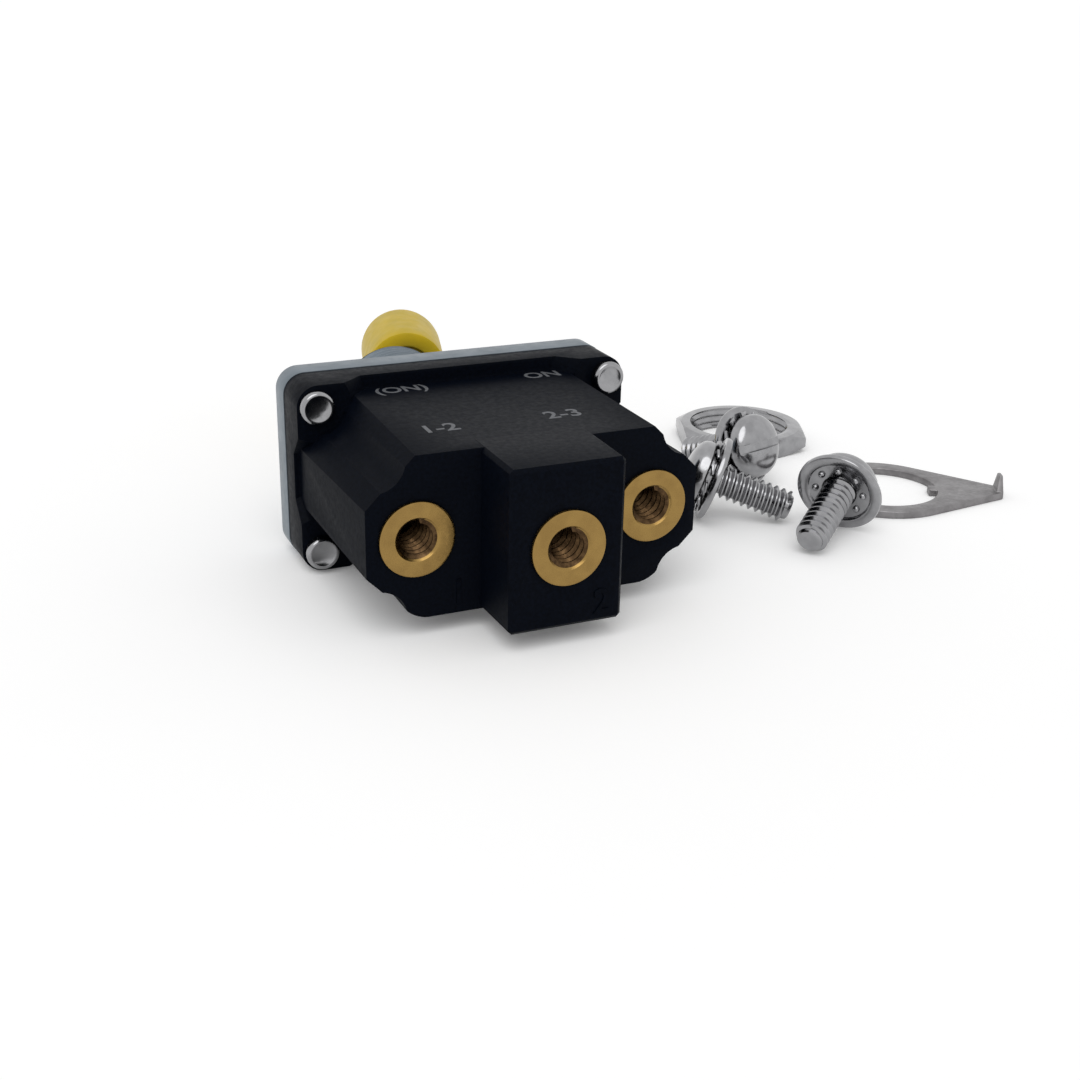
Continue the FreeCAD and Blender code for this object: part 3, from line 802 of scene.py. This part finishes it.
class SWITCH_OT_screws(bpy.types.Operator):
    """Cut the slotted terminal screws and lay them down"""

    bl_idname = "switch.screws"
    bl_label = "Terminal screws"

    def execute(self, context):
        pitch = context.scene.switch_sizes.screw_pitch
        crown = []
        for i in range(0, 10):
            a = math.radians(90.0 * (9 - i) / 9)
            crown.append((3.42 * math.cos(a), -0.75 - 1.43 * math.sin(a)))
        head = turned("screw_head", crown + [(3.48, -0.55), (3.48, -0.12), (3.38, 0.0), (0.0, 0.0)], 64)
        rest()
        bpy.ops.mesh.primitive_cube_add(size=1.0, location=(0, 0, -1.75), scale=(0.9, 9.0, 1.1))
        slot_block = bpy.context.object
        bpy.ops.object.transform_apply(location=True, rotation=True, scale=True)
        cut = head.modifiers.new("Slot", "BOOLEAN")
        cut.operation = "DIFFERENCE"
        cut.solver = "EXACT"
        cut.object = slot_block
        apply_modifiers(head)
        bpy.data.objects.remove(slot_block)
        bevel(head, 0.06, 2, 40.0)
        shank = thread("screw_thread", SCREW_CORE, SCREW_R, pitch, 0.05, SCREW_LENGTH - 0.35, 48)
        tip = turned("screw_tip", [(SCREW_CORE, SCREW_LENGTH - 0.35), (1.3, SCREW_LENGTH - 0.12),
                                   (1.15, SCREW_LENGTH), (0.0, SCREW_LENGTH)], 48)
        screw = join("slotted_screws", head, shank, tip)
        smooth(screw, 38.0)
        screws = laid_group("slotted_screws", screw)
        finish(screws, bright_steel(), "switch", "plated_steel", "terminal_screws")
        return {"FINISHED"}


class SWITCH_OT_washers(bpy.types.Operator):
    """Form the toothed lock washers and the cup washers on the screws"""

    bl_idname = "switch.washers"
    bl_label = "Screw washers"

    def execute(self, context):
        ring = turned("toothed_washers", [(1.9, 0.12), (2.9, 0.12), (2.9, 0.6), (1.9, 0.6), (1.9, 0.12)], 48)
        rest()
        bpy.ops.mesh.primitive_cube_add(size=1.0, location=(3.28, 0, 0.35), scale=(1.2, 1.05, 0.3))
        tooth = bpy.context.object
        bpy.ops.object.transform_apply(location=True, rotation=True, scale=True)
        bevel(tooth, 0.08, 2, 40.0)
        edit_all(tooth)
        bpy.ops.transform.rotate(value=math.radians(-16), orient_axis="X", center_override=(3.2, 0, 0.35))
        bpy.ops.object.mode_set(mode="OBJECT")
        teeth = []
        for i in range(12):
            piece = tooth if i == 0 else duplicate(tooth, "washer_tooth")
            teeth.append((piece, i))
        for piece, i in teeth:
            piece.data.transform(Matrix.Rotation(math.radians(30.0 * i), 4, "Z"))
        lock = join("toothed_washers", ring, *[t[0] for t in teeth])
        smooth(lock, 40.0)
        locks = laid_group("toothed_washers", lock)
        finish(locks, bright_steel(), "switch", "plated_steel", "screw_lock_washers")

        points = [(1.88, 0.72), (4.2, 0.72), (4.4, 0.8), (4.48, 0.98), (4.48, 1.22), (4.4, 1.4), (4.2, 1.48),
                  (3.7, 1.48), (3.45, 1.38), (3.25, 1.12), (1.88, 1.12), (1.88, 0.72)]
        cup = turned("cup_washers", points, 64)
        rest()
        bpy.ops.mesh.primitive_uv_sphere_add(segments=16, ring_count=8, radius=0.38, location=(2.55, 0, 1.12))
        stud = bpy.context.object
        bpy.ops.object.transform_apply(location=True, rotation=True, scale=True)
        studs = []
        for i in range(8):
            piece = stud if i == 0 else duplicate(stud, "washer_stud")
            studs.append((piece, i))
        for piece, i in studs:
            piece.data.transform(Matrix.Rotation(math.radians(45.0 * i), 4, "Z"))
        cup = join("cup_washers", cup, *[s[0] for s in studs])
        smooth(cup, 40.0)
        cups = laid_group("cup_washers", cup)
        finish(cups, bright_steel(), "switch", "plated_steel", "screw_cup_washers")
        return {"FINISHED"}


class SWITCH_OT_nut(bpy.types.Operator):
    """Round the hex nut's edges and cut its thread"""

    bl_idname = "switch.nut"
    bl_label = "Hex nut"

    def execute(self, context):
        pitch = context.scene.switch_sizes.bushing_pitch
        body = cad_copy("hex_nut", "threaded_nut")
        to_axis = Matrix.Translation((NUT_PLACE[0], NUT_PLACE[1], HARDWARE_LEVEL))
        body.data.transform(to_axis.inverted())
        edit_all(body)
        bpy.ops.mesh.select_all(action="DESELECT")
        bpy.ops.object.mode_set(mode="OBJECT")
        for face in body.data.polygons:
            middle = face.center
            radius = math.hypot(middle.x, middle.y)
            face.select = radius < NUT_ROOT and abs(face.normal.z) < 0.5
        bpy.ops.object.mode_set(mode="EDIT")
        bpy.ops.mesh.delete(type="FACE")
        bpy.ops.object.mode_set(mode="OBJECT")
        bevel(body, 0.18, 3, 28.0)
        ridges = thread("nut_thread", NUT_ROOT, NUT_CREST, pitch, 0.0, 2.4, 96)
        edit_all(ridges)
        bpy.ops.mesh.normals_make_consistent(inside=True)
        bpy.ops.object.mode_set(mode="OBJECT")
        nut = join("threaded_nut", body, ridges)
        smooth(nut, 32.0)
        place(nut, to_axis)
        finish(nut, bright_steel(), "switch", "plated_steel", "hex_nut")
        return {"FINISHED"}


class SWITCH_OT_keying_washer(bpy.types.Operator):
    """Round the punched edges of the keying washer"""

    bl_idname = "switch.keying_washer"
    bl_label = "Keying washer"

    def execute(self, context):
        washer = cad_copy("keying_washer", "punched_washer")
        tab = [v for v in washer.data.vertices if v.co.z > HARDWARE_LEVEL + 1.5]
        middle = sum((v.co for v in tab), Vector()) / len(tab)
        for v in tab:
            v.co.x += (middle.x - v.co.x) * 0.5
            v.co.y += (middle.y - v.co.y) * 0.5
        bevel(washer, 0.12, 3, 30.0)
        smooth(washer, 32.0)
        place(washer, Matrix.Identity(4))
        finish(washer, matt_zinc(), "switch", "zinc_steel", "keying_washer")
        return {"FINISHED"}


def lettering(name, words, size, depth, matrix):
    """Flat or raised marks, made a mesh and brought to their place."""
    rest()
    bpy.ops.object.text_add(location=(0, 0, 0))
    text = bpy.context.object
    text.name = name
    text.data.body = words
    text.data.size = size
    text.data.align_x = "CENTER"
    text.data.align_y = "CENTER"
    text.data.extrude = depth
    text.data.offset = 0.05
    pick(text)
    bpy.ops.object.convert(target="MESH")
    mark = bpy.context.object
    place(mark, matrix)
    return mark


class SWITCH_OT_marks(bpy.types.Operator):
    """Stamp the positions and terminal numbers, and raise the moulded numbers"""

    bl_idname = "switch.marks"
    bl_label = "Marks"

    def execute(self, context):
        height = context.scene.switch_sizes.letter_height
        slope = (TOP_HIGH - TOP_LOW) / (TOP_START - TOP_END)
        tilt = Matrix.Rotation(math.atan(slope), 4, "X")
        marks = []
        for words, x, y, scale in (("(ON)", -6.3, -6.9, 1.0), ("ON", 8.2, -6.9, 1.0),
                                   ("1-2", -6.9, -18.7, 1.15), ("2-3", 5.0, -18.7, 1.15)):
            level = TOP_LOW + slope * (y - TOP_END) + 0.006
            marks.append(lettering("stamped_mark", words, height * scale, 0.004,
                                   Matrix.Translation((x, y, level)) @ tilt))
        stamped = join("stamped_marks", *marks)
        finish(stamped, ink(), "switch", "phenolic")
        raised = []
        for words, x, y in (("1", -7.4, -24.6), ("2", 3.3, -31.0), ("3", 7.7, -24.6)):
            upright = Matrix.Translation((x, y, -5.6)) @ Matrix.Rotation(math.radians(90), 4, "X")
            raised.append(lettering("raised_mark", words, height * 1.4, 0.1, upright))
        numbers = join("raised_numbers", *raised)
        finish(numbers, phenolic(), "switch", "phenolic")
        return {"FINISHED"}


class SWITCH_OT_stage(bpy.types.Operator):
    """Set the floor, the light and the camera"""

    bl_idname = "switch.stage"
    bl_label = "Stage"

    def execute(self, context):
        scene = context.scene
        scene.view_settings.view_transform = "Standard"
        rest()
        bpy.ops.mesh.primitive_grid_add(x_subdivisions=4, y_subdivisions=4, size=16.0, location=(0, 0, 0))
        floor = bpy.context.object
        floor.name = "floor"
        floor.data.transform(Matrix.Translation((0, 0, BENCH * MM)))
        # Pale matt paper: keeps the soft shadow, and is lifted to white only for the eye,
        # for reflections and for what is seen through it
        paper, main_shader = shader("studio_paper", 0.0, 0.9, 0.0)
        mottle(paper, main_shader, "#FAFAFA", "#FBFBFB", 40.0)
        main_shader.inputs["Emission Color"].default_value = (1.0, 1.0, 1.0, 1.0)
        rays = add_node(paper, "ShaderNodeLightPath")
        eye = add_node(paper, "ShaderNodeMath", operation="MAXIMUM")
        through = add_node(paper, "ShaderNodeMath", operation="MAXIMUM")
        lift = add_node(paper, "ShaderNodeMath", operation="MULTIPLY")
        lift.inputs[1].default_value = 0.085
        nodes = paper.node_tree.links
        nodes.new(rays.outputs["Is Camera Ray"], eye.inputs[0])
        nodes.new(rays.outputs["Is Glossy Ray"], eye.inputs[1])
        nodes.new(eye.outputs["Value"], through.inputs[0])
        nodes.new(rays.outputs["Is Transmission Ray"], through.inputs[1])
        nodes.new(through.outputs["Value"], lift.inputs[0])
        nodes.new(lift.outputs["Value"], main_shader.inputs["Emission Strength"])
        floor.data.materials.append(paper)

        world = bpy.data.worlds.new("studio")
        scene.world = world
        world.use_nodes = True
        tree = world.node_tree
        plain = tree.nodes["Background"]
        plain.inputs["Color"].default_value = (1.0, 1.0, 1.0, 1.0)
        plain.inputs["Strength"].default_value = 0.7
        seen = tree.nodes.new("ShaderNodeBackground")
        seen.inputs["Color"].default_value = (1.0, 1.0, 1.0, 1.0)
        seen.inputs["Strength"].default_value = 1.0
        path = tree.nodes.new("ShaderNodeLightPath")
        either = tree.nodes.new("ShaderNodeMath")
        either.operation = "MAXIMUM"
        both = tree.nodes.new("ShaderNodeMath")
        both.operation = "MAXIMUM"
        mix = tree.nodes.new("ShaderNodeMixShader")
        tree.links.new(path.outputs["Is Camera Ray"], either.inputs[0])
        tree.links.new(path.outputs["Is Glossy Ray"], either.inputs[1])
        tree.links.new(either.outputs["Value"], both.inputs[0])
        tree.links.new(path.outputs["Is Transmission Ray"], both.inputs[1])
        tree.links.new(both.outputs["Value"], mix.inputs["Fac"])
        tree.links.new(plain.outputs["Background"], mix.inputs[1])
        tree.links.new(seen.outputs["Background"], mix.inputs[2])
        tree.links.new(mix.outputs["Shader"], tree.nodes["World Output"].inputs["Surface"])

        rest()
        bpy.ops.object.light_add(type="SUN", location=(0, 0, 1))
        key = bpy.context.object
        key.name = "soft_key"
        key.data.energy = 1.0
        key.data.angle = math.radians(50)
        key.rotation_euler = (math.radians(28), math.radians(-18), 0)

        bpy.ops.object.camera_add(location=(0, 0, 0))
        camera = bpy.context.object
        camera.name = "view_camera"
        right = Vector((0.91336, -0.40671, 0.01914))
        up = Vector((0.13702, 0.35129, 0.92618))
        back = right.cross(up)
        spot = Vector((-51.040, -137.479, 48.610)) * MM
        turn = Matrix((right, up, back)).transposed().to_4x4()
        camera.matrix_world = Matrix.Translation(spot) @ turn
        camera.data.sensor_width = 36.0
        camera.data.lens = 50.60
        camera.data.clip_start = 0.005
        camera.data.clip_end = 50.0
        scene.camera = camera
        return {"FINISHED"}


class SWITCH_PT_panel(bpy.types.Panel):
    """Steps that build and finish the switch"""

    bl_idname = "SWITCH_PT_panel"
    bl_label = "Toggle Switch"
    bl_space_type = "VIEW_3D"
    bl_region_type = "UI"
    bl_category = "Switch"

    def draw(self, context):
        column = self.layout.column()
        for step in STEPS:
            column.operator(step.bl_idname)
        for group in (context.scene.switch_sizes, context.scene.switch_finish):
            box = self.layout.box()
            for key in group.__annotations__:
                box.prop(group, key)


STEPS = (SWITCH_OT_case, SWITCH_OT_cover, SWITCH_OT_rivets, SWITCH_OT_bushing, SWITCH_OT_lever,
         SWITCH_OT_terminals, SWITCH_OT_contacts, SWITCH_OT_screws, SWITCH_OT_washers, SWITCH_OT_nut,
         SWITCH_OT_keying_washer, SWITCH_OT_marks, SWITCH_OT_stage)
CLASSES = (SwitchSizes, SwitchFinish) + STEPS + (SWITCH_PT_panel,)


def register():
    for cls in CLASSES:
        bpy.utils.register_class(cls)
    bpy.types.Scene.switch_sizes = bpy.props.PointerProperty(type=SwitchSizes)
    bpy.types.Scene.switch_finish = bpy.props.PointerProperty(type=SwitchFinish)


def unregister():
    del bpy.types.Scene.switch_finish
    del bpy.types.Scene.switch_sizes
    for cls in reversed(CLASSES):
        bpy.utils.unregister_class(cls)


def plain(box):
    """A box as plain lists of numbers."""
    return [[float(v) for v in corner] for corner in box]


def main():
    register()
    bpy.ops.switch.case()
    bpy.ops.switch.cover()
    bpy.ops.switch.rivets()
    bpy.ops.switch.bushing()
    bpy.ops.switch.lever()
    bpy.ops.switch.terminals()
    bpy.ops.switch.contacts()
    bpy.ops.switch.screws()
    bpy.ops.switch.washers()
    bpy.ops.switch.nut()
    bpy.ops.switch.keying_washer()
    bpy.ops.switch.marks()
    bpy.ops.switch.stage()


if __name__ == "__main__":
    main()
